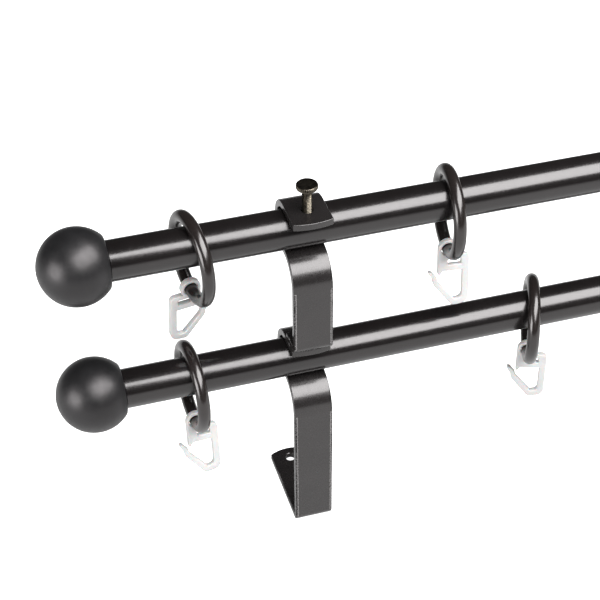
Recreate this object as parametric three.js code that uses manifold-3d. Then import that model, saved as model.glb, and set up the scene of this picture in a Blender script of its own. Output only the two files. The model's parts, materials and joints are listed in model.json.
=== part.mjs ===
// A double curtain rod: two rods one behind the other, each clamped in a flat-bar bracket at
// either end. The wall bracket carries the back rod, and the extension bracket stands on it
// and carries the front rod. Every rod has two ball finials, and rings with pleat hooks.
//
// Millimetres. X runs along the rods, with its zero at mid-length. Z is the distance from the
// wall, which is the plane z = 0. Y = 0 is the plane of both rods' axes. On the wall, -Y is up,
// so each cradle opens upwards; here the rods are shown standing on the wall plates.

import * as THREE from "three";
import { mergeVertices } from "three/addons/utils/BufferGeometryUtils.js";
import Module from "manifold-3d";

const wasm = await Module();
wasm.setup();

// ---------------------------------------------------------------- driving dimensions

const rodDiameter = 20;
const rodWall = 1;
const rodLength = 1200;
const backRodDistance = 102; // from the wall to the back rod's axis
const rodSpacing = 80; // from the back rod's axis to the front rod's
const backRodOffset = 1.5; // the back rod lies this much further along than the front rod

const barWidth = 20; // the flat bar that the brackets are bent from
const barThickness = 3.5;
const bracketInset = 95; // from a rod's end to the middle of its bracket
const frontReach = 18; // from the rods' plane to the outer face of the arms
const wallFlapReach = 14.2; // from the rods' plane to the corners of the wall bracket's flap
const extensionFlapReach = 18; // the same for the extension bracket's flap
const cradlePlay = 0.8; // the cradle's inner radius, less the rod's
const armBendRadius = 17; // outer radius of the bend between arm and cradle
const footBendInnerRadius = 0.3; // the bend between foot and arm
const wallFootReach = 32.1; // from the rods' plane to the wall plate's back corners
const extensionFootReach = -3.5; // the same for the foot of the extension bracket
const flapEndRise = 1.4; // how far the rounded end of a flap stands out past its corners
const plateEndRise = 2.7; // the same for the end of the wall plate

const slotPlace = 2; // middle of the wall plate's slot, from the rods' plane
const slotLength = 10.5;
const slotWidth = 5.5;
const roundHolePlace = 27.5;
const roundHoleDiameter = 5.5;

const screwDiameter = 5;
const screwLength = 17.8; // under the head
const screwPlace = -7.5; // the screws' axis, from the rods' plane
const screwHeadDiameter = 10.6;
const screwHeadHeight = 2.3;
const screwHeadChamfer = 0.5;
const screwCollarDiameter = 6.6;
const screwCollarHeight = 0.8;
const knurlTeeth = 18;
const knurlDepth = 0.45;

const ballDiameter = 38;
const ballFaceRadius = 12.5; // the flat that the ball turns to the rod
const ballBoreDepth = 10;
const studDiameter = 6;
const studLength = 9;
const plugLength = 18;
const plugRibDepth = 0.5;

const ringInnerDiameter = 35.4;
const ringTube = 6.5;

const hookThickness = 3;
const hookEyePlay = 0.4; // the eye's radius, less the ring tube's
const hookWall = 1.6; // around the hook's eye
const hookDrop = 33; // from the eye's centre to the hook's lowest edge
const hookReach = 10.8; // from the eye's centre to the back of the long leg
const hookStem = 3.4; // width of the long leg
const hookBodyDrop = 12.5; // from the eye's centre to the underside of the hook's body
const hookHeelRise = 15.7; // from the hook's lowest edge to the corner of the short leg
const hookWindowWidth = 7; // the window in the body, below the eye
const hookWindowHeight = 3.2;
const hookWindowWall = 0.7; // between the window and the eye's rim, and the long leg
const hookSpring = 2.6; // thickness of the short leg, which springs against the body

const gap = 0.3; // between pieces that touch
const fit = 0.3; // radial clearance of what passes through or plugs into something

// Where each ring hangs: its place along X, its turn about the vertical, how far round the ring
// the hook sits, how far the hook leans back from there, and which way its long leg faces, in
// mm and degrees.
const frontRings = [
  { along: -560, turn: 9, round: 13, lean: -6, legSide: -1 },
  { along: -430, turn: -6, round: -6, lean: 0, legSide: 1 },
  { along: 40, turn: 5, round: 3, lean: 0, legSide: 1 },
  { along: 430, turn: -8, round: -4, lean: 0, legSide: -1 },
  { along: 560, turn: -4, round: 2, lean: 0, legSide: 1 },
];
const backRings = [
  { along: -563.7, turn: 3, round: -7.5, lean: 0, legSide: 1 },
  { along: -380, turn: -19.5, round: 1, lean: 0, legSide: 1 },
  { along: -30, turn: -7, round: 4, lean: 0, legSide: -1 },
  { along: 390, turn: 12, round: -3, lean: 0, legSide: 1 },
  { along: 562, turn: 6, round: -5, lean: 0, legSide: 1 },
];

// ---------------------------------------------------------------- sizes that follow

const rodRadius = rodDiameter / 2;
const cradleRadius = rodRadius + cradlePlay;
const footBendRadius = footBendInnerRadius + barThickness; // its outer radius
const cradleCentre = cradleRadius - rodRadius - gap; // above the rod's axis
const cradleTop = -rodRadius - gap; // the face that the rod rests on
const flapUnder = cradleCentre + cradleRadius;
const flapTop = flapUnder + barThickness;
const screwInnerEdge = Math.abs(screwPlace) - screwDiameter / 2; // its nearest to the rod's middle
const screwTip = Math.sqrt(rodRadius ** 2 - screwInnerEdge ** 2) + gap + fit;
const frontRodDistance = backRodDistance + rodSpacing;
const extensionFootUnder = backRodDistance + flapTop + gap;
const bracketPlace = rodLength / 2 - bracketInset;
const screwRadius = screwDiameter / 2;
const ringTubeRadius = ringTube / 2;
const ringInnerRadius = ringInnerDiameter / 2;
const ringPitchRadius = ringInnerRadius + ringTubeRadius;
const ringDrop = ringInnerRadius - rodRadius - gap; // from the rod's axis to the ring's centre
const plugRadius = rodRadius - rodWall - fit;
const ballRadius = ballDiameter / 2;
const ballFacePlace = Math.sqrt(ballRadius ** 2 - ballFaceRadius ** 2);
const studRadius = studDiameter / 2;
const hookEyeRadius = ringTubeRadius + hookEyePlay;
const hookOuterRadius = hookEyeRadius + hookWall;

// ---------------------------------------------------------------- finishes

const finishes = {
  rod: { color: 0x2e2b2b, roughness: 0.34, metalness: 0.55 },
  bar: { color: 0x353132, roughness: 0.42, metalness: 0.45 },
  ball: { color: 0x2f2d2e, roughness: 0.55, metalness: 0.2 },
  ring: { color: 0x2b2625, roughness: 0.36, metalness: 0.35 },
  bronze: { color: 0x3b3428, roughness: 0.38, metalness: 0.85 },
  hook: { color: 0xeeeeec, roughness: 0.35, metalness: 0 },
  plug: { color: 0x1d1d1e, roughness: 0.7, metalness: 0 },
};

// ---------------------------------------------------------------- helpers

/** A closed geometry as a solid that can be joined and cut. */
function solid(geometry) {
  const bare = geometry.clone();
  bare.deleteAttribute("normal");
  bare.deleteAttribute("uv");
  const merged = mergeVertices(bare, 1e-4);
  const mesh = new wasm.Mesh({
    numProp: 3,
    vertProperties: new Float32Array(merged.attributes.position.array),
    triVerts: new Uint32Array(merged.index.array),
  });
  return new wasm.Manifold(mesh);
}

/** A solid's surface as a geometry again. */
function surface(manifold) {
  const mesh = manifold.getMesh();
  const geometry = new THREE.BufferGeometry();
  geometry.setAttribute("position", new THREE.BufferAttribute(mesh.vertProperties, 3));
  geometry.setIndex(new THREE.BufferAttribute(mesh.triVerts, 1));
  geometry.computeVertexNormals();
  return geometry;
}

/** A named piece in its own finish. */
function piece(name, geometry, finish) {
  const mesh = new THREE.Mesh(geometry, new THREE.MeshStandardMaterial(finishes[finish]));
  mesh.name = name;
  return mesh;
}

/** An outline drawn in Y and Z, made a bar of the given width across X. */
function acrossX(outline, width, curveSegments) {
  const geometry = new THREE.ExtrudeGeometry(outline, {
    depth: width,
    bevelEnabled: false,
    curveSegments,
  });
  const turn = new THREE.Matrix4().makeBasis(
    new THREE.Vector3(0, 1, 0),
    new THREE.Vector3(0, 0, 1),
    new THREE.Vector3(1, 0, 0),
  );
  return geometry.applyMatrix4(turn).translate(-width / 2, 0, 0);
}

/** An outline drawn in X and Y, made a block from one height to another. */
function alongZ(outline, low, high, curveSegments) {
  const geometry = new THREE.ExtrudeGeometry(outline, {
    depth: high - low,
    bevelEnabled: false,
    curveSegments,
  });
  return geometry.translate(0, 0, low);
}

/** A profile of radii and places, turned about the X axis. */
function turnedOnX(profile, sides) {
  const points = profile.map(([radius, along]) => new THREE.Vector2(radius, along));
  return new THREE.LatheGeometry(points, sides).rotateZ(-Math.PI / 2);
}

/** The same, turned about the Z axis. */
function turnedOnZ(profile, sides) {
  const points = profile.map(([radius, height]) => new THREE.Vector2(radius, height));
  return new THREE.LatheGeometry(points, sides).rotateX(Math.PI / 2);
}

// ---------------------------------------------------------------- brackets

const barCurveSegments = 8;
const holeSides = 20;

/** A bracket's side view, from the end of its foot up the arm and round the cradle, and back. */
function bracketOutline(footUnder, footEnd, flapCorner) {
  const outline = new THREE.Shape();
  const quarter = Math.PI / 2;
  const footTop = footUnder + barThickness;
  const footBendY = footBendRadius - frontReach;
  const footBendZ = footUnder + footBendRadius;
  const armBendY = armBendRadius - frontReach;
  const armBendZ = cradleTop - armBendRadius;
  const flapEnd = flapCorner - flapEndRise;

  outline.moveTo(footEnd, footUnder);
  outline.lineTo(footEnd, footTop);
  outline.absarc(footBendY, footBendZ, footBendRadius - barThickness, -quarter, -Math.PI, true);
  outline.absarc(armBendY, armBendZ, armBendRadius - barThickness, Math.PI, quarter, true);
  outline.absarc(0, cradleCentre, cradleRadius + barThickness, -quarter, quarter, false);
  outline.lineTo(flapEnd, flapTop);
  outline.lineTo(flapEnd, flapUnder);
  outline.absarc(0, cradleCentre, cradleRadius, quarter, -quarter, true);
  outline.absarc(armBendY, armBendZ, armBendRadius, quarter, Math.PI, false);
  outline.absarc(footBendY, footBendZ, footBendRadius, Math.PI, 3 * quarter, false);
  return outline;
}

/** What is cut away to round an end of the bar: all that lies past the arc over its corners. */
function endCutter(corner, direction, rise, low, high) {
  const halfWidth = barWidth / 2;
  const past = corner + direction * (rise + barThickness);
  const radius = (halfWidth ** 2 + rise ** 2) / (2 * rise);
  const middle = corner + direction * (rise - radius);
  const halfAngle = Math.asin(halfWidth / radius);
  const towards = (direction * Math.PI) / 2;
  const outline = new THREE.Shape();
  outline.moveTo(-halfWidth - gap, past);
  outline.lineTo(-halfWidth - gap, corner);
  outline.absarc(
    0,
    middle,
    radius,
    towards + direction * halfAngle,
    towards - direction * halfAngle,
    direction > 0,
  );
  outline.lineTo(halfWidth + gap, corner);
  outline.lineTo(halfWidth + gap, past);
  return solid(alongZ(outline, low, high, barCurveSegments));
}

/** A round hole's cutter. */
function holeCutter(place, radius, low, high) {
  const hole = new THREE.CylinderGeometry(radius, radius, high - low, holeSides);
  hole.rotateX(Math.PI / 2).translate(0, place, (low + high) / 2);
  return solid(hole);
}

/** The slot's cutter, long across the bar. */
function slotCutter(low, high) {
  const straight = (slotLength - slotWidth) / 2;
  const radius = slotWidth / 2;
  const outline = new THREE.Shape();
  outline.absarc(straight, slotPlace, radius, -Math.PI / 2, Math.PI / 2, false);
  outline.absarc(-straight, slotPlace, radius, Math.PI / 2, Math.PI * 1.5, false);
  return solid(alongZ(outline, low, high, barCurveSegments));
}

/** A bent bar with its ends rounded and the thumb screw's hole through its flap. */
function bentBar(footUnder, footCorner, footEndRise, flapCorner) {
  const outline = bracketOutline(footUnder, footCorner + footEndRise, flapCorner);
  const footTop = footUnder + barThickness;
  return solid(acrossX(outline, barWidth, barCurveSegments))
    .subtract(endCutter(flapCorner, -1, flapEndRise, flapUnder - gap, flapTop + gap))
    .subtract(endCutter(footCorner, 1, footEndRise, footUnder - gap, footTop + gap))
    .subtract(holeCutter(screwPlace, screwRadius + fit, flapUnder - gap, flapTop + gap));
}

/** The wall bracket, with its rod's axis at the origin. */
function wallBracket() {
  const footUnder = -backRodDistance;
  const low = footUnder - gap;
  const high = footUnder + barThickness + gap;
  const bar = bentBar(footUnder, wallFootReach, plateEndRise, -wallFlapReach)
    .subtract(slotCutter(low, high))
    .subtract(holeCutter(roundHolePlace, roundHoleDiameter / 2, low, high));
  return surface(bar);
}

/** The extension bracket, which stands on the wall bracket's flap under the same screw. */
function extensionBracket() {
  const footUnder = extensionFootUnder - frontRodDistance;
  const low = footUnder - gap;
  const high = footUnder + barThickness + gap;
  const bar = bentBar(
    footUnder,
    extensionFootReach,
    flapEndRise,
    -extensionFlapReach,
  ).subtract(holeCutter(screwPlace, screwRadius + fit, low, high));
  return surface(bar);
}

// ---------------------------------------------------------------- thumb screws

/** A knurled thumb screw, pointing down, with its tip at the origin. */
function thumbScrew() {
  const headUnder = screwLength;
  const headTop = headUnder + screwHeadHeight;
  const headRadius = screwHeadDiameter / 2;
  const collarUnder = headUnder - screwCollarHeight;
  const envelope = turnedOnZ(
    [
      [0, headUnder],
      [headRadius - screwHeadChamfer, headUnder],
      [headRadius, headUnder + screwHeadChamfer],
      [headRadius, headTop - screwHeadChamfer],
      [headRadius - screwHeadChamfer, headTop],
      [0, headTop],
    ],
    2 * knurlTeeth,
  );
  const teeth = new THREE.Shape();
  const halfPitch = Math.PI / knurlTeeth;
  for (let step = 0; step < 2 * knurlTeeth; step += 1) {
    const radius = headRadius - (step % 2) * knurlDepth;
    const angle = step * halfPitch;
    const x = radius * Math.cos(angle);
    const y = radius * Math.sin(angle);
    if (step === 0) teeth.moveTo(x, y);
    else teeth.lineTo(x, y);
  }
  const head = solid(envelope).intersect(solid(alongZ(teeth, headUnder - gap, headTop + gap, 1)));
  const shank = turnedOnZ(
    [
      [0, 0],
      [screwRadius - screwHeadChamfer, 0],
      [screwRadius, screwHeadChamfer],
      [screwRadius, collarUnder],
      [screwCollarDiameter / 2, collarUnder + gap],
      [screwCollarDiameter / 2, headUnder + gap],
      [0, headUnder + gap],
    ],
    holeSides,
  );
  return surface(head.add(solid(shank)));
}

// ---------------------------------------------------------------- rods and finials

const rodSides = 40;
const ballSides = 24;
const ballArcPoints = 10;
const plugSides = 20;

/** An open tube along X. */
function rodTube() {
  const inner = rodRadius - rodWall;
  const half = rodLength / 2;
  const section = [
    [inner, -half],
    [rodRadius, -half],
    [rodRadius, half],
    [inner, half],
    [inner, -half],
  ];
  return turnedOnX(section, rodSides);
}

/** A ball with a flat and a bore towards the rod; the flat is at x = 0, the rod beyond it. */
function finialBall() {
  const profile = [];
  const start = Math.PI;
  const end = Math.atan2(ballFaceRadius, ballFacePlace);
  for (let step = 0; step <= ballArcPoints; step += 1) {
    const angle = start + ((end - start) * step) / ballArcPoints;
    const radius = step === 0 ? 0 : ballRadius * Math.sin(angle);
    profile.push([radius, ballRadius * Math.cos(angle) - ballFacePlace]);
  }
  profile.push([studRadius + fit, 0]);
  profile.push([studRadius + fit, -ballBoreDepth]);
  profile.push([0, -ballBoreDepth]);
  return turnedOnX(profile, ballSides);
}

/** A ribbed plug for the tube's end, with the stud that carries the ball. */
function finialPlug() {
  const ribs = 2;
  const pitch = plugLength / (2 * ribs);
  const profile = [
    [0, -studLength],
    [studRadius, -studLength],
    [studRadius, 0],
  ];
  for (let rib = 0; rib < ribs; rib += 1) {
    const start = 2 * rib * pitch;
    profile.push([plugRadius, start]);
    profile.push([plugRadius, start + pitch]);
    profile.push([plugRadius - plugRibDepth, start + pitch]);
    profile.push([plugRadius - plugRibDepth, start + 2 * pitch]);
  }
  profile.push([0, plugLength]);
  return turnedOnX(profile, plugSides);
}

// ---------------------------------------------------------------- rings and hooks

const ringSides = 24;
const ringSectionSides = 8;
const hookCurveSegments = 8;

/** A ring whose axis is X. */
function ring() {
  const section = [];
  for (let step = 0; step <= ringSectionSides; step += 1) {
    const angle = (2 * Math.PI * (step % ringSectionSides)) / ringSectionSides;
    const radius = ringPitchRadius + ringTubeRadius * Math.cos(angle);
    section.push([radius, ringTubeRadius * Math.sin(angle)]);
  }
  return turnedOnX(section, ringSides);
}

/** A pleat hook in the X-Z plane, hanging from its eye's centre; its long leg is on +X. */
function pleatHook() {
  const shoulder = (-40 * Math.PI) / 180; // where the long leg leaves the eye
  const shoulderZ = hookOuterRadius * Math.sin(shoulder);
  const shoulderRadius = 3;
  const barb = 2.5; // depth and width of the barb that the short leg snaps under
  const barbZ = -hookBodyDrop - barb;
  const stemInner = hookReach - hookStem;
  const bendZ = -hookDrop + hookStem;
  const bendRise = 5;
  const toe = 3.5; // the hook's lowest point
  const toeBack = toe - 2;
  const heel = [-hookOuterRadius - hookSpring, -hookDrop + hookHeelRise]; // the short leg's outer corner
  const tip = [heel[0] - 2.1, heel[1] + 3.8];

  const outline = new THREE.Shape();
  outline.absarc(0, 0, hookOuterRadius, Math.PI, shoulder, true);
  outline.lineTo(hookReach - shoulderRadius, shoulderZ);
  outline.quadraticCurveTo(hookReach, shoulderZ, hookReach, shoulderZ - shoulderRadius);
  outline.lineTo(hookReach, -hookDrop + bendRise);
  outline.quadraticCurveTo(hookReach, -hookDrop, toe, -hookDrop);
  outline.quadraticCurveTo(toeBack + 0.7, -hookDrop, toeBack, -hookDrop + 0.8);
  outline.lineTo(heel[0] + 1.2, heel[1] - 4);
  outline.quadraticCurveTo(heel[0], heel[1] - 2.6, heel[0], heel[1]);
  outline.lineTo(tip[0], tip[1]);
  outline.lineTo(tip[0] + 0.8, tip[1] + 0.8);
  outline.lineTo(tip[0] + 1.7, tip[1] + 0.6);
  outline.lineTo(heel[0] + hookSpring - 0.3, heel[1] + 0.6);
  outline.quadraticCurveTo(heel[0] + hookSpring, heel[1] - 1.2, heel[0] + 3.3, heel[1] - 2.4);
  outline.lineTo(toe, bendZ);
  outline.quadraticCurveTo(stemInner, bendZ, stemInner, bendZ + hookStem);
  outline.lineTo(stemInner, -hookBodyDrop);
  outline.lineTo(barb - hookOuterRadius, -hookBodyDrop);
  outline.lineTo(-hookOuterRadius + 0.6, barbZ);
  outline.lineTo(-hookOuterRadius, barbZ + 1);
  const eye = new THREE.Path();
  eye.absarc(0, 0, hookEyeRadius, 0, 2 * Math.PI, false);
  outline.holes.push(eye);
  const windowRight = stemInner - hookWindowWall;
  const windowLeft = windowRight - hookWindowWidth;
  const windowHigh = -hookOuterRadius - hookWindowWall;
  const windowLow = windowHigh - hookWindowHeight;
  const opening = new THREE.Path();
  opening.moveTo(windowLeft, windowHigh);
  opening.lineTo(windowLeft, windowLow);
  opening.lineTo(windowRight, windowLow);
  opening.lineTo(windowRight, windowHigh);
  outline.holes.push(opening);
  const geometry = new THREE.ExtrudeGeometry(outline, {
    depth: hookThickness,
    bevelEnabled: false,
    curveSegments: hookCurveSegments,
  });
  return geometry.rotateX(Math.PI / 2).translate(0, hookThickness / 2, 0);
}

/** A ring hanging on a rod, with its hook, around the rod's axis at the origin. */
function ringWithHook(run, number, { along, turn, round, lean, legSide }) {
  const hanging = new THREE.Group();
  hanging.position.set(along, 0, -ringDrop);
  hanging.rotation.z = THREE.MathUtils.degToRad(turn);
  hanging.add(piece(`${run}_ring_${number}`, ring(), "ring"));

  const aroundRing = new THREE.Group();
  aroundRing.rotation.x = THREE.MathUtils.degToRad(round);
  hanging.add(aroundRing);
  const hanger = new THREE.Group();
  hanger.position.z = -ringPitchRadius;
  hanger.rotation.x = THREE.MathUtils.degToRad(lean);
  aroundRing.add(hanger);
  const hook = piece(`${run}_hook_${number}`, pleatHook(), "hook");
  hook.rotation.z = legSide < 0 ? Math.PI : 0;
  hanger.add(hook);
  return hanging;
}

// ---------------------------------------------------------------- the whole set

/** One rod with its two finials and its rings, with the rod's middle at the origin. */
function rodWithFittings(run, rings, offset) {
  const group = new THREE.Group();
  const tube = new THREE.Group();
  tube.position.x = offset;
  tube.add(piece(`${run}_rod`, rodTube(), "rod"));
  for (const [sideName, side] of [["left", -1], ["right", 1]]) {
    const end = new THREE.Group();
    end.position.x = (side * rodLength) / 2;
    end.rotation.z = side > 0 ? Math.PI : 0;
    const ball = piece(`${run}_rod_finial_${sideName}`, finialBall(), "ball");
    ball.position.x = -gap;
    end.add(ball);
    end.add(piece(`${run}_rod_plug_${sideName}`, finialPlug(), "plug"));
    tube.add(end);
  }
  group.add(tube);
  rings.forEach((place, index) => group.add(ringWithHook(run, index + 1, place)));
  return group;
}

const curtainRodSet = new THREE.Group();

const backRun = rodWithFittings("back", backRings, backRodOffset);
backRun.position.z = backRodDistance;
curtainRodSet.add(backRun);

const frontRun = rodWithFittings("front", frontRings, 0);
frontRun.position.z = frontRodDistance;
curtainRodSet.add(frontRun);

for (const [sideName, side] of [["left", -1], ["right", 1]]) {
  const wall = piece(`wall_bracket_${sideName}`, wallBracket(), "bar");
  wall.position.set(side * bracketPlace, 0, backRodDistance);
  curtainRodSet.add(wall);

  const extension = piece(`extension_bracket_${sideName}`, extensionBracket(), "bar");
  extension.position.set(side * bracketPlace, 0, frontRodDistance);
  curtainRodSet.add(extension);

  for (const [run, height] of [["back", backRodDistance], ["front", frontRodDistance]]) {
    const screw = piece(`${run}_thumb_screw_${sideName}`, thumbScrew(), "bronze");
    screw.position.set(side * bracketPlace, screwPlace, height + screwTip);
    curtainRodSet.add(screw);
  }
}

export default curtainRodSet;
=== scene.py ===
"""A double curtain rod: two rods in bent flat-bar brackets, with ball finials, rings and hooks.

Metres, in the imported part's own frame: X along the rods, Z away from the wall plates' face,
and -Y the way the cradles open.
"""

import json
import math

import bmesh
import bpy
from mathutils import Matrix, Vector


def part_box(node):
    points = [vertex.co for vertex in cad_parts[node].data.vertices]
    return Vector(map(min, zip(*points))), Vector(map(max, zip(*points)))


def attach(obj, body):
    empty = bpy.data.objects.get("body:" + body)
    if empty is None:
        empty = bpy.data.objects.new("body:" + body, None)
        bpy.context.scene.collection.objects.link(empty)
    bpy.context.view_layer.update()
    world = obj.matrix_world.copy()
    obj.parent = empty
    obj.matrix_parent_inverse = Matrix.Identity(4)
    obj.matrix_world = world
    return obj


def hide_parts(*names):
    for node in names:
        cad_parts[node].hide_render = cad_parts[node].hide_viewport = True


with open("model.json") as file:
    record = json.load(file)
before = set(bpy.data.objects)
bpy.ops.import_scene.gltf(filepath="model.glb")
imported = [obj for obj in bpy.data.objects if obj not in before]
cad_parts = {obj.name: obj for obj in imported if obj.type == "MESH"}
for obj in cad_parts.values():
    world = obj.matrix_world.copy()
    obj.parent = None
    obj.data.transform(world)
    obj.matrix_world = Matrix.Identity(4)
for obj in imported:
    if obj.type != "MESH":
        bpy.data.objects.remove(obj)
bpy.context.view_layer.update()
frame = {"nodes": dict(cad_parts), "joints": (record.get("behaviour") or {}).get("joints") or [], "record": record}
record = frame["record"]
joints = {joint["name"]: joint for joint in frame["joints"]}
openings = {opening["name"]: opening for opening in record["physics"]["openings"]}

MM = 0.001
SIDES = ("left", "right")
RUNS = ("front", "back")
RINGS_PER_ROD = 5

QUARTER_UP = -math.pi / 2

# Distances at which points count as one, in metres, and in mm for a flat outline.
NEARLY_ZERO = 1e-6
MERGE_DISTANCE = 1e-7
SLIVER_LENGTH = 1e-8
OUTLINE_MERGE_DISTANCE = 1e-4

# How finely round things are divided.
ROD_SEGMENTS = 96
BALL_SEGMENTS = 72
BALL_STEPS = 48
BAR_COLUMNS = 24
FOOT_BEND_STEPS = 8
ARM_BEND_STEPS = 20
CRADLE_STEPS = 36
HOLE_SEGMENTS = 48
RING_SEGMENTS = 96
RING_TUBE_SEGMENTS = 28
SOFT_EDGE_SEGMENTS = 3

# What the frame's boxes don't say about the pieces.
ROD_WALL = 1.0 * MM
BAR_THICKNESS = 3.5 * MM
ARM_BEND_RADIUS = 17.0 * MM
FOOT_BEND_RADIUS = 3.8 * MM
WALL_FLAP_CORNER = -14.2 * MM
EXTENSION_FLAP_CORNER = -18.0 * MM
EXTENSION_FOOT_CORNER = -3.5 * MM
CRADLE_PLAY = 0.8 * MM
CRADLE_GAP = 0.3 * MM
FLAP_END_RISE = 1.4 * MM
PLATE_END_RISE = 2.7 * MM
SCREW_HOLE_RADIUS = 2.8 * MM
ROUND_HOLE_RADIUS = 2.75 * MM
SLOT_RADIUS = 2.75 * MM
SLOT_LENGTH = 10.5 * MM
ROUND_HOLE_FROM_END = 7.3 * MM
BALL_RADIUS = 19.0 * MM
BALL_FACE_RADIUS = 12.5 * MM
BALL_BORE_RADIUS = 3.3 * MM
BALL_BORE_DEPTH = 10.0 * MM
RING_TUBE_RADIUS = 3.25 * MM
ROD_EDGE = 0.25 * MM
BALL_EDGE = 0.5 * MM
BAR_EDGE = 0.45 * MM
HOLE_EDGE = 0.35 * MM
CUTTER_MARGIN = 1.0 * MM
SCREW_HEAD_HEIGHT = 2.3 * MM
SCREW_HEAD_RIM = 0.35 * MM
SCREW_HEAD_CROWN = 0.12 * MM
KNURL_TEETH = 36
KNURL_DEPTH = 0.42 * MM
POINTS_PER_TOOTH = 6
THREAD_RADIUS = 2.5 * MM
THREAD_PITCH = 0.8 * MM
THREAD_DEPTH = 0.42 * MM
THREAD_STEPS = 32
SHANK_TIP = 0.6 * MM
SHANK_OVERLAP = 0.05 * MM

# The pleat hook's outline from its eye's centre, in mm, with the long leg on +X.
HOOK_THICKNESS = 3.0
HOOK_ROUNDING = 0.35
HOOK_EYE_RADIUS = 5.25
HOOK_HOLE_RADIUS = 3.65
HOOK_HOLE_STEPS = 40
HOOK_BACK = 10.8
HOOK_LEG_WIDTH = 3.4
HOOK_LOW = -33.0
HOOK_BODY_LOW = -12.5
HOOK_HEEL_RISE = 15.7
HOOK_TOE = 3.5
HOOK_WINDOW_WIDTH = 7.0
HOOK_WINDOW_HEIGHT = 3.2
HOOK_WINDOW_WALL = 0.7

# The camera: its place from the front left ball's centre, its turn in degrees, its lens in mm.
CAMERA_PLACE = Vector((-70.55, -613.57, 467.06)) * MM
CAMERA_AZIMUTH = 16.22
CAMERA_ELEVATION = 38.71
CAMERA_ROLL = -0.51
CAMERA_SENSOR = 36
CAMERA_LENS = 99.15

# The light from all round, and the floor. The floor's glow is for the camera alone.
WORLD_BRIGHTNESS = 0.05
FLOOR_GLOW = 0.92
FLOOR_SIZE = 12


# ---------------------------------------------------------------- mesh helpers


def centre_of(node):
    low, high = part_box(node)
    return (low + high) / 2


def verts_in(geom):
    return [item for item in geom if isinstance(item, bmesh.types.BMVert)]


def faces_in(geom):
    return [item for item in geom if isinstance(item, bmesh.types.BMFace)]


def sharp_edges(bm, angle):
    """The edges that turn by more than an angle, in degrees."""
    limit = math.radians(angle)
    return [e for e in bm.edges if e.is_manifold and e.calc_face_angle(0) > limit]


def soften(bm, width, angle):
    """Rounds every edge that turns by more than an angle."""
    bmesh.ops.bevel(
        bm,
        geom=sharp_edges(bm, angle),
        offset=width,
        offset_type="OFFSET",
        segments=SOFT_EDGE_SEGMENTS,
        profile=0.5,
        affect="EDGES",
        material=-1,
        clamp_overlap=True,
    )


def close_up(bm):
    """Merges doubled vertices and turns every face outwards."""
    bmesh.ops.remove_doubles(bm, verts=bm.verts, dist=MERGE_DISTANCE)
    bmesh.ops.dissolve_degenerate(bm, dist=SLIVER_LENGTH, edges=bm.edges)
    bmesh.ops.recalc_face_normals(bm, faces=bm.faces)


def chain(bm, points, closed=False):
    """A line of edges through points."""
    verts = [bm.verts.new(point) for point in points]
    edges = [bm.edges.new(pair) for pair in zip(verts, verts[1:])]
    if closed:
        edges.append(bm.edges.new((verts[-1], verts[0])))
    return verts + edges


def turned(profile, axis, segments, closed=False):
    """A profile of (along, radius) turned about the X or Z axis."""
    bm = bmesh.new()
    if axis == "X":
        points = [Vector((along, 0, radius)) for along, radius in profile]
        spindle = Vector((1, 0, 0))
    else:
        points = [Vector((radius, 0, along)) for along, radius in profile]
        spindle = Vector((0, 0, 1))
    bmesh.ops.spin(
        bm,
        geom=chain(bm, points, closed),
        cent=(0, 0, 0),
        axis=spindle,
        angle=math.tau,
        steps=segments,
        use_merge=True,
    )
    close_up(bm)
    return bm


def mesh_from(name, bm):
    mesh = bpy.data.meshes.new(name)
    bm.to_mesh(mesh)
    bm.free()
    return mesh


def piece(name, mesh, node, material, crease=40):
    """A finished piece that stands for a CAD node and moves with that node's body."""
    mesh.polygons.foreach_set("use_smooth", [True] * len(mesh.polygons))
    mesh.set_sharp_from_angle(angle=math.radians(crease))
    mesh.materials.clear()
    mesh.materials.append(material)
    made = bpy.data.objects.new(name, mesh)
    bpy.context.scene.collection.objects.link(made)
    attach(made, BODY_OF[node])
    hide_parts(node)
    return made


def cut(mesh, cutters):
    """A mesh with other solids taken out of it."""
    body = bpy.data.objects.new("uncut", mesh)
    bpy.context.scene.collection.objects.link(body)
    tools = []
    for number, bm in enumerate(cutters):
        tool = bpy.data.objects.new("cutter", mesh_from("cutter", bm))
        bpy.context.scene.collection.objects.link(tool)
        modifier = body.modifiers.new(f"hole_{number}", "BOOLEAN")
        modifier.operation = "DIFFERENCE"
        modifier.solver = "EXACT"
        modifier.object = tool
        tools.append(tool)
    depsgraph = bpy.context.evaluated_depsgraph_get()
    result = bpy.data.meshes.new_from_object(body.evaluated_get(depsgraph))
    for used in [body, *tools]:
        bpy.data.objects.remove(used)
    return result


BODY_OF = {
    node: body
    for body, members in record["behaviour"]["bodies"].items()
    for node in members
}


# ---------------------------------------------------------------- materials


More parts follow.
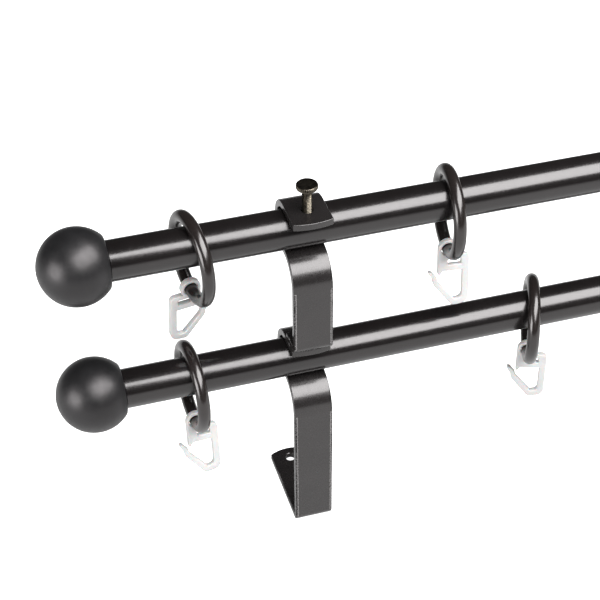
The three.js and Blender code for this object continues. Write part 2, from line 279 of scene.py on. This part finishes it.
class Finish:
    """A node material with one Principled shader."""

    def __init__(self, name, **sockets):
        self.material = bpy.data.materials.new(name)
        self.material.use_nodes = True
        self.nodes = self.material.node_tree.nodes
        self.links = self.material.node_tree.links
        self.shader = self.nodes["Principled BSDF"]
        for socket, value in sockets.items():
            self.shader.inputs[socket.replace("_", " ")].default_value = value
        self.place = self.nodes.new("ShaderNodeTexCoord").outputs["Object"]

    def noise(self, scale, detail=3.0, roughness=0.5):
        node = self.nodes.new("ShaderNodeTexNoise")
        node.inputs["Scale"].default_value = scale
        node.inputs["Detail"].default_value = detail
        node.inputs["Roughness"].default_value = roughness
        self.links.new(self.place, node.inputs["Vector"])
        return node.outputs["Fac"]

    def ramp(self, value, stops):
        """A pattern's value turned into colours, by stops of (position, colour)."""
        node = self.nodes.new("ShaderNodeValToRGB")
        elements = node.color_ramp.elements
        while len(elements) < len(stops):
            elements.new(0.5)
        for element, (position, colour) in zip(elements, stops):
            element.position = position
            element.color = (*colour, 1.0)
        self.links.new(value, node.inputs["Fac"])
        return node.outputs["Color"]

    def spread(self, value, low, high):
        """A pattern's 0.3 to 0.7 mapped to a range."""
        node = self.nodes.new("ShaderNodeMapRange")
        node.inputs["From Min"].default_value = 0.3
        node.inputs["From Max"].default_value = 0.7
        node.inputs["To Min"].default_value = low
        node.inputs["To Max"].default_value = high
        self.links.new(value, node.inputs["Value"])
        return node.outputs["Result"]

    def to(self, socket, value):
        self.links.new(value, self.shader.inputs[socket])

    def mottle(self, scale, detail, *stops):
        """A base colour that wanders through stops of (position, colour)."""
        self.to("Base Color", self.ramp(self.noise(scale, detail=detail), stops))

    def gloss(self, scale, low, high):
        """A roughness that wanders between two values."""
        self.to("Roughness", self.spread(self.noise(scale), low, high))

    def bump(self, value, height):
        node = self.nodes.new("ShaderNodeBump")
        node.inputs["Strength"].default_value = 1.0
        node.inputs["Distance"].default_value = height
        self.links.new(value, node.inputs["Height"])
        self.links.new(node.outputs["Normal"], self.shader.inputs["Normal"])


def black_paint(name, colour, roughness, mottle, grain):
    """Baked black paint: a faint mottle in its colour and gloss, and a fine orange peel."""
    finish = Finish(
        name,
        Metallic=0.0,
        Specular_Tint=(1.0, 0.965, 0.965, 1.0),
        Coat_Weight=0.2,
        Coat_Roughness=0.12,
    )
    dark = [channel * (1 - mottle) for channel in colour]
    light = [channel * (1 + mottle) for channel in colour]
    finish.mottle(60.0, 4.0, (0.3, dark), (0.7, light))
    finish.gloss(420.0, roughness * 0.9, roughness * 1.1)
    finish.bump(finish.noise(grain, detail=2.0), 0.0015 * MM)
    return finish.material


def satin_ball(name):
    """Moulded satin black, duller than the paint."""
    finish = Finish(
        name,
        Metallic=0.0,
        Specular_IOR_Level=0.40,
        Specular_Tint=(1.0, 0.95, 0.96, 1.0),
    )
    dark = (0.0045, 0.0045, 0.0048)
    light = (0.0075, 0.0075, 0.0080)
    finish.mottle(90.0, 5.0, (0.3, dark), (0.7, light))
    finish.gloss(300.0, 0.36, 0.44)
    finish.bump(finish.noise(1400.0, detail=2.0), 0.015 * MM)
    return finish.material


def burnished_bronze(name):
    """Blackened brass that shows its colour where it is worn."""
    finish = Finish(name, Metallic=1.0)
    blackened = (0.055, 0.049, 0.042)
    rubbed = (0.100, 0.088, 0.068)
    bare = (0.24, 0.20, 0.13)
    wear = finish.noise(700.0, detail=6.0, roughness=0.65)
    stops = [(0.35, blackened), (0.62, rubbed), (0.8, bare)]
    finish.to("Base Color", finish.ramp(wear, stops))
    finish.gloss(500.0, 0.24, 0.36)
    finish.bump(finish.noise(1500.0), 0.01 * MM)
    return finish.material


def milky_plastic(name):
    """Translucent white plastic."""
    finish = Finish(
        name,
        Metallic=0.0,
        Subsurface_Weight=0.35,
        Subsurface_Scale=1.5 * MM,
        Coat_Weight=0.15,
        Coat_Roughness=0.15,
    )
    finish.mottle(120.0, 3.0, (0.3, (0.38, 0.38, 0.38)), (0.7, (0.42, 0.42, 0.415)))
    finish.gloss(350.0, 0.30, 0.40)
    finish.bump(finish.noise(900.0), 0.008 * MM)
    return finish.material


def moulded_plug(name):
    """Dull dark plastic."""
    finish = Finish(name, Metallic=0.0)
    finish.mottle(200.0, 3.0, (0.3, (0.012, 0.012, 0.012)), (0.7, (0.020, 0.020, 0.020)))
    finish.gloss(600.0, 0.6, 0.75)
    return finish.material


ROD_PAINT = black_paint("rod_paint", (0.0050, 0.0042, 0.0042), 0.22, 0.15, 900.0)
BAR_PAINT = black_paint("bar_paint", (0.0085, 0.0075, 0.0075), 0.27, 0.18, 800.0)
RING_PAINT = black_paint("ring_paint", (0.0080, 0.0062, 0.0058), 0.24, 0.15, 900.0)
BALL_SATIN = satin_ball("ball_satin")
BRONZE = burnished_bronze("burnished_bronze")
MILKY = milky_plastic("milky_plastic")
PLUG_PLASTIC = moulded_plug("plug_plastic")


# ---------------------------------------------------------------- rods, balls and plugs


def rod_axis(run):
    """The middle of a rod, and its radius."""
    low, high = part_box(f"{run}_rod")
    return (low + high) / 2, (high.z - low.z) / 2


def make_rod(run):
    low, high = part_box(f"{run}_rod")
    middle, radius = rod_axis(run)
    half = (high.x - low.x) / 2
    inner = radius - ROD_WALL
    section = [(-half, inner), (-half, radius), (half, radius), (half, inner)]
    bm = turned(section, "X", ROD_SEGMENTS, closed=True)
    soften(bm, ROD_EDGE, angle=45)
    bmesh.ops.translate(bm, verts=bm.verts, vec=middle)
    piece(f"rod_{run}", mesh_from("rod", bm), f"{run}_rod", ROD_PAINT)


def ball_profile():
    """From the far pole round to the flat at 0, then the bore."""
    face_place = math.sqrt(BALL_RADIUS**2 - BALL_FACE_RADIUS**2)
    last = math.atan2(BALL_FACE_RADIUS, face_place)
    profile = []
    for step in range(BALL_STEPS + 1):
        angle = math.pi + (last - math.pi) * step / BALL_STEPS
        radius = max(0.0, BALL_RADIUS * math.sin(angle)) if step else 0.0
        profile.append((BALL_RADIUS * math.cos(angle) - face_place, radius))
    profile.append((0.0, BALL_BORE_RADIUS))
    profile.append((-BALL_BORE_DEPTH, BALL_BORE_RADIUS))
    profile.append((-BALL_BORE_DEPTH, 0.0))
    return profile


def make_ball(run, side):
    node = f"{run}_rod_finial_{side}"
    low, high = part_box(node)
    bm = turned(ball_profile(), "X", BALL_SEGMENTS)
    soften(bm, BALL_EDGE, angle=30)
    if side == "left":
        flat = high.x
    else:
        flat = low.x
        half_turn = Matrix.Rotation(math.pi, 3, "Z")
        bmesh.ops.rotate(bm, verts=bm.verts, cent=(0, 0, 0), matrix=half_turn)
    middle, _ = rod_axis(run)
    bmesh.ops.translate(bm, verts=bm.verts, vec=(flat, middle.y, middle.z))
    piece(f"ball_{run}_{side}", mesh_from("ball", bm), node, BALL_SATIN)


def finish_plug(run, side):
    """A plug keeps its CAD shape and gets its plastic."""
    mesh = frame["nodes"][f"{run}_rod_plug_{side}"].data
    mesh.materials.clear()
    mesh.materials.append(PLUG_PLASTIC)


# ---------------------------------------------------------------- brackets


def bar_section(bm, width, y, low):
    """The flat bar's cut face, at a place along Y, standing on a height."""
    made = bmesh.ops.create_grid(bm, x_segments=BAR_COLUMNS, y_segments=1, size=0.5)
    verts = made["verts"]
    bmesh.ops.scale(bm, verts=verts, vec=(width, BAR_THICKNESS, 1))
    upright = Matrix.Rotation(math.pi / 2, 3, "X")
    bmesh.ops.rotate(bm, verts=verts, cent=(0, 0, 0), matrix=upright)
    bmesh.ops.translate(bm, verts=verts, vec=(0, y, low + BAR_THICKNESS / 2))
    return list(bm.verts) + list(bm.edges) + list(bm.faces)


def go_straight(bm, cap, move):
    """Draws the bar on in a straight line, and gives its new end."""
    made = bmesh.ops.extrude_face_region(bm, geom=faces_in(cap))
    bmesh.ops.translate(bm, verts=verts_in(made["geom"]), vec=move)
    return made["geom"]


def go_round(bm, cap, y, z, angle, steps):
    """Bends the bar round a line along X, and gives its new end."""
    made = bmesh.ops.spin(
        bm,
        geom=faces_in(cap),
        cent=(0, y, z),
        axis=(1, 0, 0),
        angle=angle,
        steps=steps,
    )
    return made["geom_last"]


def bow_out(verts, half_width, rise, direction):
    """Moves a straight end out to an arc over its corners."""
    radius = (half_width**2 + rise**2) / (2 * rise)
    for vert in verts:
        vert.co.y += direction * (math.sqrt(radius**2 - vert.co.x**2) - radius + rise)


def hole_cutter(x, y, low, high, radius, stretch=0.0):
    """A hole with a small chamfer at both faces, drawn out across the bar by a stretch."""
    mouth = radius + HOLE_EDGE + CUTTER_MARGIN
    profile = [
        (low - CUTTER_MARGIN, 0.0),
        (low - CUTTER_MARGIN, mouth),
        (low + HOLE_EDGE, radius),
        (high - HOLE_EDGE, radius),
        (high + CUTTER_MARGIN, mouth),
        (high + CUTTER_MARGIN, 0.0),
    ]
    bm = turned(profile, "Z", HOLE_SEGMENTS)
    for vert in bm.verts:
        if abs(vert.co.x) > NEARLY_ZERO:
            vert.co.x += math.copysign(stretch / 2, vert.co.x)
    bmesh.ops.translate(bm, verts=bm.verts, vec=(x, y, 0))
    return bm


def arm_front(side):
    """The plane of both arms' outer faces on a side, where the wall bracket's box ends."""
    low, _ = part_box(f"wall_bracket_{side}")
    return low.y


def bracket_mesh(run, side, foot_rise):
    """The bent bar with its rod's cradle, from the end of its foot to the end of its flap."""
    node = f"{'wall' if run == 'back' else 'extension'}_bracket_{side}"
    low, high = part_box(node)
    axis, rod_radius = rod_axis(run)
    width = high.x - low.x
    middle_x = (low.x + high.x) / 2
    front = arm_front(side)
    flap_corner = WALL_FLAP_CORNER if run == "back" else EXTENSION_FLAP_CORNER
    cradle_radius = rod_radius + CRADLE_PLAY
    cradle_top = axis.z - rod_radius - CRADLE_GAP
    cradle_z = cradle_top + cradle_radius
    foot_corner = high.y - foot_rise if run == "back" else EXTENSION_FOOT_CORNER
    arm_z = cradle_top - ARM_BEND_RADIUS

    bm = bmesh.new()
    cap = bar_section(bm, width, foot_corner, low.z)
    foot_end = list(bm.verts)
    foot_bend_y = front + FOOT_BEND_RADIUS
    arm_bend_y = front + ARM_BEND_RADIUS
    cap = go_straight(bm, cap, (0, foot_bend_y - foot_corner, 0))
    cap = go_round(bm, cap, foot_bend_y, low.z + FOOT_BEND_RADIUS, QUARTER_UP, FOOT_BEND_STEPS)
    cap = go_straight(bm, cap, (0, 0, arm_z - low.z - FOOT_BEND_RADIUS))
    cap = go_round(bm, cap, arm_bend_y, arm_z, QUARTER_UP, ARM_BEND_STEPS)
    cap = go_straight(bm, cap, (0, axis.y - arm_bend_y, 0))
    cap = go_round(bm, cap, axis.y, cradle_z, -2 * QUARTER_UP, CRADLE_STEPS)
    cap = go_straight(bm, cap, (0, flap_corner - axis.y, 0))
    flap_end = verts_in(cap)
    bow_out(foot_end, width / 2, foot_rise, 1)
    bow_out(flap_end, width / 2, FLAP_END_RISE, -1)
    close_up(bm)
    soften(bm, BAR_EDGE, angle=50)
    bmesh.ops.translate(bm, verts=bm.verts, vec=(middle_x, 0, 0))

    screw = centre_of(f"{run}_thumb_screw_{side}")
    flap_low = cradle_z + cradle_radius
    cutters = [
        hole_cutter(middle_x, screw.y, flap_low, flap_low + BAR_THICKNESS, SCREW_HOLE_RADIUS),
    ]
    foot_high = low.z + BAR_THICKNESS
    if run == "back":
        slot_low, slot_high = [Vector(v) for v in openings[f"wall_plate_{side}_slot"]["box_m"]]
        slot_y = (slot_low.y + slot_high.y) / 2
        stretch = SLOT_LENGTH - 2 * SLOT_RADIUS
        cutters.append(hole_cutter(middle_x, slot_y, low.z, foot_high, SLOT_RADIUS, stretch))
        hole_y = high.y - ROUND_HOLE_FROM_END
        cutters.append(hole_cutter(middle_x, hole_y, low.z, foot_high, ROUND_HOLE_RADIUS))
    else:
        cutters.append(hole_cutter(middle_x, screw.y, low.z, foot_high, SCREW_HOLE_RADIUS))
    return node, cut(mesh_from("bent_bar", bm), cutters)


def make_bracket(run, side):
    rise = PLATE_END_RISE if run == "back" else FLAP_END_RISE
    node, mesh = bracket_mesh(run, side, rise)
    made = piece(f"{node}_bar", mesh, node, BAR_PAINT, crease=35)
    weighted = made.modifiers.new("flat_faces", "WEIGHTED_NORMAL")
    weighted.keep_sharp = True


# ---------------------------------------------------------------- thumb screws


def top_face(bm):
    return max(bm.faces, key=lambda face: (face.calc_center_median().z, face.calc_area()))


def place_ring(verts, height, radius, tooth):
    """Sets a ring of vertices at a height and radius, with the knurl's teeth by a share."""
    for vert in verts:
        angle = math.atan2(vert.co.y, vert.co.x)
        depth = KNURL_DEPTH * tooth * (0.5 - 0.5 * math.cos(KNURL_TEETH * angle))
        reach = radius - depth
        vert.co = Vector((reach * math.cos(angle), reach * math.sin(angle), height))


def make_screw(run, side):
    """A knurled head, built up in levels, on a threaded shank."""
    node = f"{run}_thumb_screw_{side}"
    low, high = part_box(node)
    head_radius = (high.x - low.x) / 2
    head_high = high.z - low.z
    head_low = head_high - SCREW_HEAD_HEIGHT
    rim = SCREW_HEAD_RIM
    bm = bmesh.new()
    count = POINTS_PER_TOOTH * KNURL_TEETH
    bmesh.ops.create_circle(bm, cap_ends=True, radius=head_radius, segments=count)
    levels = [
        (head_low, head_radius - rim, 0.0),
        (head_low + rim, head_radius, 1.0),
        (head_high - rim, head_radius, 1.0),
        (head_high - SCREW_HEAD_CROWN, head_radius - 0.8 * rim, 0.0),
        (head_high, head_radius - 1.3 * rim, 0.0),
    ]
    place_ring(bm.verts, *levels[0])
    for level in levels[1:]:
        bm.faces.ensure_lookup_table()
        made = bmesh.ops.extrude_face_region(bm, geom=[top_face(bm)])
        place_ring(verts_in(made["geom"]), *level)
    bmesh.ops.recalc_face_normals(bm, faces=bm.faces)
    add_thread(bm, head_low)
    place = centre_of(node)
    bmesh.ops.translate(bm, verts=bm.verts, vec=(place.x, place.y, low.z))
    piece(f"{node}_turned", mesh_from("screw", bm), node, BRONZE, crease=30)


def add_thread(bm, head_low):
    """The threaded shank: a core with a ridge wound round it, from the tip to the head."""
    root = THREAD_RADIUS - THREAD_DEPTH
    core_radius = root + SHANK_OVERLAP
    core_high = head_low + SHANK_TIP
    turns = int((head_low - 2 * SHANK_TIP) / THREAD_PITCH)
    profile = []
    for turn in range(turns):
        low = SHANK_TIP + turn * THREAD_PITCH
        profile.append(Vector((root, 0, low)))
        profile.append(Vector((THREAD_RADIUS, 0, low + 0.42 * THREAD_PITCH)))
        profile.append(Vector((THREAD_RADIUS, 0, low + 0.58 * THREAD_PITCH)))
    profile.append(Vector((root, 0, SHANK_TIP + turns * THREAD_PITCH)))
    thread = bmesh.new()
    bmesh.ops.spin(
        thread,
        geom=chain(thread, profile),
        cent=(0, 0, 0),
        axis=(0, 0, 1),
        dvec=(0, 0, THREAD_PITCH / THREAD_STEPS),
        angle=math.tau,
        steps=THREAD_STEPS,
    )
    bmesh.ops.remove_doubles(thread, verts=thread.verts, dist=NEARLY_ZERO)
    open_edges = [e for e in thread.edges if e.is_boundary]
    bmesh.ops.holes_fill(thread, edges=open_edges, sides=0)
    bmesh.ops.triangulate(thread, faces=[f for f in thread.faces if len(f.verts) > 4])
    bmesh.ops.recalc_face_normals(thread, faces=thread.faces)
    merge_in(bm, thread)
    core = [
        (0.0, 0.0),
        (0.0, root - SHANK_TIP / 2),
        (SHANK_TIP, core_radius),
        (core_high, core_radius),
        (core_high, 0.0),
    ]
    merge_in(bm, turned(core, "Z", THREAD_STEPS))


def merge_in(bm, other):
    """Adds another mesh's shells to a mesh."""
    mesh = mesh_from("shell", other)
    bm.from_mesh(mesh)
    bpy.data.meshes.remove(mesh)


# ---------------------------------------------------------------- rings and hooks


def ring_frame(run, number):
    """A ring's centre, the place and axis of its hook's joint, and the ring's own axis."""
    hinge = joints[f"{run}_hook_{number}_swing"]
    centre = centre_of(f"{run}_ring_{number}")
    seat = Vector(hinge["pos_m"])
    across = Vector(hinge["axis"])
    normal = across.cross(centre - seat).normalized()
    return centre, seat, across, normal


def make_ring(run, number):
    node = f"{run}_ring_{number}"
    centre, seat, _, normal = ring_frame(run, number)
    pitch = (centre - seat).length
    bm = bmesh.new()
    made = bmesh.ops.create_circle(bm, radius=RING_TUBE_RADIUS, segments=RING_TUBE_SEGMENTS)
    bmesh.ops.translate(bm, verts=made["verts"], vec=(0, pitch, 0))
    bmesh.ops.spin(
        bm,
        geom=list(bm.verts) + list(bm.edges),
        cent=(0, 0, 0),
        axis=(1, 0, 0),
        angle=math.tau,
        steps=RING_SEGMENTS,
        use_merge=True,
    )
    close_up(bm)
    turn = Vector((1, 0, 0)).rotation_difference(normal).to_matrix()
    bmesh.ops.rotate(bm, verts=bm.verts, cent=(0, 0, 0), matrix=turn)
    bmesh.ops.translate(bm, verts=bm.verts, vec=centre)
    piece(f"ring_{run}_{number}", mesh_from("ring", bm), node, RING_PAINT)


class Outline:
    """A flat outline of straight and round stretches."""

    def __init__(self, start=None):
        self.points = [start] if start else []

    def line(self, *points):
        self.points.extend(points)

    def arc(self, centre, radius, first, last, steps=24):
        for step in range(steps + 1):
            angle = math.radians(first + (last - first) * step / steps)
            self.points.append(
                (centre[0] + radius * math.cos(angle), centre[1] + radius * math.sin(angle))
            )

    def bend(self, corner, end, steps=10):
        """A round stretch from the last point towards a corner and on to an end."""
        start = self.points[-1]
        for step in range(1, steps + 1):
            t = step / steps
            self.points.append(
                tuple(
                    (1 - t) ** 2 * a + 2 * t * (1 - t) * b + t**2 * c
                    for a, b, c in zip(start, corner, end)
                )
            )


def hook_body():
    """The outline of the eye's outside, the long leg, the lower loop and the short leg's point."""
    eye = HOOK_EYE_RADIUS
    back = HOOK_BACK
    stem = back - HOOK_LEG_WIDTH
    low = HOOK_LOW
    low_inner = low + HOOK_LEG_WIDTH
    body = HOOK_BODY_LOW
    toe = HOOK_TOE
    heel = (-eye - 2.6, low + HOOK_HEEL_RISE)
    tip = (heel[0] - 2.1, heel[1] + 3.8)
    shoulder = eye * math.sin(math.radians(-40))
    outline = Outline()
    outline.arc((0, 0), eye, 180, -40)
    outline.line((back - 3, shoulder))
    outline.bend((back, shoulder), (back, shoulder - 3))
    outline.line((back, low + 5))
    outline.bend((back, low), (toe, low))
    outline.bend((toe - 1.3, low), (toe - 2, low + 0.8))
    outline.line((heel[0] + 1.2, heel[1] - 4))
    outline.bend((heel[0], heel[1] - 2.6), heel)
    outline.line(tip)
    outline.bend((tip[0] - 0.3, tip[1] + 0.8), (tip[0] + 0.7, tip[1] + 0.8))
    outline.line((tip[0] + 1.6, tip[1] + 0.6))
    outline.line((heel[0] + 2.3, heel[1] + 0.6))
    outline.bend((heel[0] + 2.6, heel[1] - 1.2), (heel[0] + 3.3, heel[1] - 2.4))
    outline.line((toe, low_inner))
    outline.bend((stem, low_inner), (stem, low_inner + HOOK_LEG_WIDTH))
    outline.line((stem, body))
    outline.line((-eye + 2.5, body))
    outline.line((-eye + 0.6, body - 2.5))
    outline.line((-eye, body - 1.5))
    return outline.points


def hook_eye():
    """The round hole that the ring goes through."""
    hole = Outline()
    last = 360 - 360 / HOOK_HOLE_STEPS
    hole.arc((0, 0), HOOK_HOLE_RADIUS, 0, last, steps=HOOK_HOLE_STEPS - 1)
    return hole.points


def hook_window():
    """The small opening with round corners below the eye."""
    corner = HOOK_WINDOW_WALL
    right = HOOK_BACK - HOOK_LEG_WIDTH - HOOK_WINDOW_WALL
    left = right - HOOK_WINDOW_WIDTH
    high = -HOOK_EYE_RADIUS - HOOK_WINDOW_WALL
    low = high - HOOK_WINDOW_HEIGHT
    window = Outline((left + corner, high))
    window.bend((left, high), (left, high - corner))
    window.line((left, low + corner))
    window.bend((left, low), (left + corner, low))
    window.line((right - corner, low))
    window.bend((right, low), (right, low + corner))
    window.line((right, high - corner))
    window.bend((right, high), (right - corner, high))
    return window.points


def flat_piece(outlines, thickness, rounding):
    """A mesh of flat outlines in X and Y, in mm, given a thickness and rounded edges."""
    curve = bpy.data.curves.new("flat", "CURVE")
    curve.dimensions = "2D"
    curve.fill_mode = "BOTH"
    curve.extrude = thickness / 2 - rounding
    curve.bevel_depth = rounding
    curve.bevel_resolution = 2
    curve.offset = -rounding
    for points in outlines:
        spline = curve.splines.new("POLY")
        spline.points.add(len(points) - 1)
        for place, (x, y) in zip(spline.points, points):
            place.co = (x, y, 0, 1)
        spline.use_cyclic_u = True
    holder = bpy.data.objects.new("flat", curve)
    bpy.context.scene.collection.objects.link(holder)
    depsgraph = bpy.context.evaluated_depsgraph_get()
    mesh = bpy.data.meshes.new_from_object(holder.evaluated_get(depsgraph))
    bpy.data.objects.remove(holder)
    bm = bmesh.new()
    bm.from_mesh(mesh)
    bmesh.ops.remove_doubles(bm, verts=bm.verts, dist=OUTLINE_MERGE_DISTANCE)
    bmesh.ops.recalc_face_normals(bm, faces=bm.faces)
    return bm


def make_hook(run, number):
    """A hook on its ring, with its long leg on the side where its loop's opening is."""
    node = f"{run}_hook_{number}"
    _, seat, across, normal = ring_frame(run, number)
    loop_low, loop_high = [Vector(v) for v in openings[f"{node}_loop"]["box_m"]]
    long_leg = ((loop_low + loop_high) / 2 - seat).dot(normal)
    u = normal if long_leg > 0 else -normal
    v = u.cross(across)
    if v.z < 0:
        v = -v
    w = u.cross(v)
    outlines = (hook_body(), hook_eye(), hook_window())
    bm = flat_piece(outlines, HOOK_THICKNESS, HOOK_ROUNDING)
    bmesh.ops.scale(bm, verts=bm.verts, vec=(MM, MM, MM))
    turn = Matrix((u, v, w)).transposed()
    bmesh.ops.rotate(bm, verts=bm.verts, cent=(0, 0, 0), matrix=turn)
    bmesh.ops.translate(bm, verts=bm.verts, vec=seat)
    piece(f"hook_{run}_{number}", mesh_from("hook", bm), node, MILKY, crease=50)


# ---------------------------------------------------------------- the whole set

for run_name in RUNS:
    make_rod(run_name)
    for side_name in SIDES:
        make_ball(run_name, side_name)
        make_bracket(run_name, side_name)
        make_screw(run_name, side_name)
        finish_plug(run_name, side_name)
    for ring_number in range(1, RINGS_PER_ROD + 1):
        make_ring(run_name, ring_number)
        make_hook(run_name, ring_number)


# ---------------------------------------------------------------- floor, light and camera


def make_floor():
    bm = bmesh.new()
    bmesh.ops.create_grid(bm, x_segments=1, y_segments=1, size=FLOOR_SIZE)
    mesh = mesh_from("floor", bm)
    finish = Finish("pale_floor", Metallic=0.0, Roughness=0.9)
    finish.mottle(2.0, 3.0, (0.3, (0.47, 0.47, 0.47)), (0.7, (0.49, 0.49, 0.49)))
    lit_from_behind(finish, FLOOR_GLOW)
    mesh.materials.append(finish.material)
    floor = bpy.data.objects.new("floor", mesh)
    bpy.context.scene.collection.objects.link(floor)


def lit_from_behind(finish, glow):
    """A glowing sheet to look at, which lights the set no more than the plain floor does."""
    nodes, links = finish.nodes, finish.links
    seen = nodes.new("ShaderNodeLightPath")
    lit = nodes.new("ShaderNodeEmission")
    lit.inputs["Strength"].default_value = glow
    both = nodes.new("ShaderNodeAddShader")
    either = nodes.new("ShaderNodeMixShader")
    links.new(finish.shader.outputs["BSDF"], both.inputs[0])
    links.new(lit.outputs["Emission"], both.inputs[1])
    links.new(seen.outputs["Is Camera Ray"], either.inputs["Fac"])
    links.new(finish.shader.outputs["BSDF"], either.inputs[1])
    links.new(both.outputs["Shader"], either.inputs[2])
    links.new(either.outputs["Shader"], nodes["Material Output"].inputs["Surface"])


def soft_light(name, towards, distance, width, height, power, target):
    """A soft box that shines on a target from a direction."""
    light = bpy.data.lights.new(name, "AREA")
    light.shape = "RECTANGLE"
    light.size = width
    light.size_y = height
    light.energy = power
    lamp = bpy.data.objects.new(name, light)
    direction = Vector(towards).normalized()
    lamp.location = Vector(target) + direction * distance
    lamp.rotation_euler = direction.to_track_quat("Z", "Y").to_euler()
    bpy.context.scene.collection.objects.link(lamp)


def make_world(brightness):
    """An even light from all round, behind which the camera sees plain white."""
    world = bpy.data.worlds.new("studio")
    world.use_nodes = True
    nodes = world.node_tree.nodes
    links = world.node_tree.links
    around = nodes["Background"]
    around.inputs["Color"].default_value = (1, 1, 1, 1)
    around.inputs["Strength"].default_value = brightness
    backdrop = nodes.new("ShaderNodeBackground")
    backdrop.inputs["Color"].default_value = (1, 1, 1, 1)
    backdrop.inputs["Strength"].default_value = 1.0
    seen = nodes.new("ShaderNodeLightPath")
    either = nodes.new("ShaderNodeMixShader")
    links.new(seen.outputs["Is Camera Ray"], either.inputs["Fac"])
    links.new(around.outputs["Background"], either.inputs[1])
    links.new(backdrop.outputs["Background"], either.inputs[2])
    links.new(either.outputs["Shader"], nodes["World Output"].inputs["Surface"])
    bpy.context.scene.world = world


def make_camera():
    """The camera stands off the left end, looking along and down on the rods."""
    camera = bpy.data.cameras.new("camera")
    camera.sensor_width = CAMERA_SENSOR
    camera.lens = CAMERA_LENS
    camera.clip_start = 0.05
    camera.clip_end = 50
    holder = bpy.data.objects.new("camera", camera)
    azimuth = math.radians(CAMERA_AZIMUTH)
    elevation = math.radians(CAMERA_ELEVATION)
    roll = math.radians(CAMERA_ROLL)
    forward = Vector(
        (
            math.sin(azimuth) * math.cos(elevation),
            math.cos(azimuth) * math.cos(elevation),
            -math.sin(elevation),
        )
    )
    level = Vector((math.cos(azimuth), -math.sin(azimuth), 0))
    upright = level.cross(forward)
    right = math.cos(roll) * level + math.sin(roll) * upright
    up = -math.sin(roll) * level + math.cos(roll) * upright
    turn = Matrix((right, up, -forward)).transposed().to_4x4()
    ball_low, ball_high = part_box("front_rod_finial_left")
    ball_centre = Vector((ball_low.x + BALL_RADIUS, 0, (ball_low.z + ball_high.z) / 2))
    place = ball_centre + CAMERA_PLACE
    holder.matrix_world = Matrix.Translation(place) @ turn
    bpy.context.scene.collection.objects.link(holder)
    bpy.context.scene.camera = holder


make_floor()
make_world(WORLD_BRIGHTNESS)
soft_light(
    "overhead",
    towards=(0.30, -0.42, 0.85),
    distance=1.6,
    width=2.2,
    height=1.2,
    power=105,
    target=(-0.4, 0, 0.1),
)
soft_light(
    "from_left",
    towards=(-0.92, -0.34, 0.20),
    distance=1.2,
    width=0.8,
    height=0.65,
    power=18,
    target=(-0.6, 0, 0.14),
)
make_camera()
bpy.context.scene.view_settings.view_transform = "Standard"
